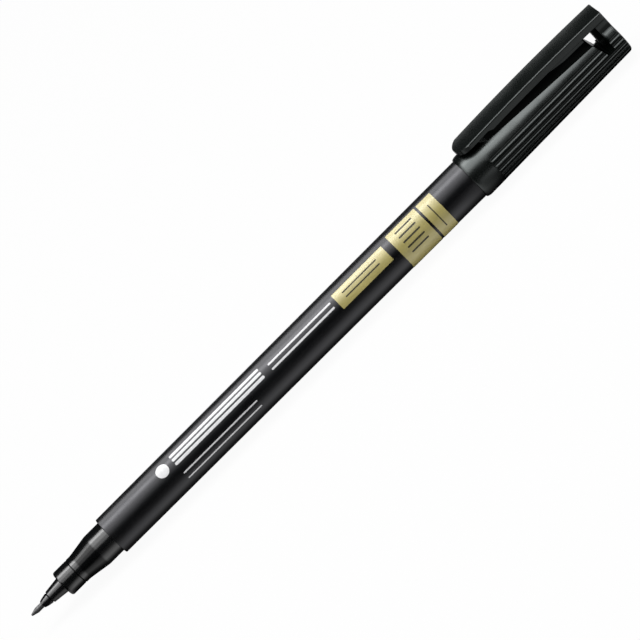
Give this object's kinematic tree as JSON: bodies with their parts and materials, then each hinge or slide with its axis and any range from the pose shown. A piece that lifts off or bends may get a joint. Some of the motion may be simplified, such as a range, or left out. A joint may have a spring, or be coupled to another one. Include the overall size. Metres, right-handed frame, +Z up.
{
  "type": "permanent marker",
  "caption": "Slim black permanent marker with a fine fibre tip, a stepped nose section and a ribbed clip cap posted on its tail.",
  "frame": {"origin": "on the surface that the pen lies on, under the middle of its posted length and under its axis", "axes": "+X along the pen's axis from the nib to the cap's closed end, +Z up through the pocket clip, +Y across the pen"},
  "size_m": [0.157, 0.01, 0.0122],
  "materials": {
    "tip_fibre": "bonded fibre rod, ink-soaked grey",
    "holder_plastic": "glossy moulded black",
    "section_plastic": "glossy moulded black",
    "barrel_plastic": "satin charcoal black",
    "plug_plastic": "satin black",
    "reservoir_fibre": "ink-soaked fibre bundle",
    "clear_film": "thin clear film",
    "cap_plastic": "satin black, slightly green",
    "clip_plastic": "satin black, slightly green"
  },
  "bodies": {
    "pen": {"fibre_tip": "tip_fibre", "nib_holder": "holder_plastic", "grip_section": "section_plastic", "barrel": "barrel_plastic", "end_plug": "plug_plastic", "ink_reservoir": "reservoir_fibre", "reservoir_film": "clear_film"},
    "cap": {"cap": "cap_plastic"},
    "clip": {"clip": "clip_plastic"}
  },
  "joints": [
    {"name": "cap_pull", "type": "slide", "parent": "pen", "child": "cap", "axis": [1, 0, 0], "range_m": [0, 0.025]},
    {"name": "clip_flex", "type": "hinge", "parent": "cap", "child": "clip", "pos_m": [0.07847, 0, 0.00877], "axis": [0, 1, 0], "range_deg": [0, 4.5], "stiffness_Nm_per_rad": 0.2}
  ]
}
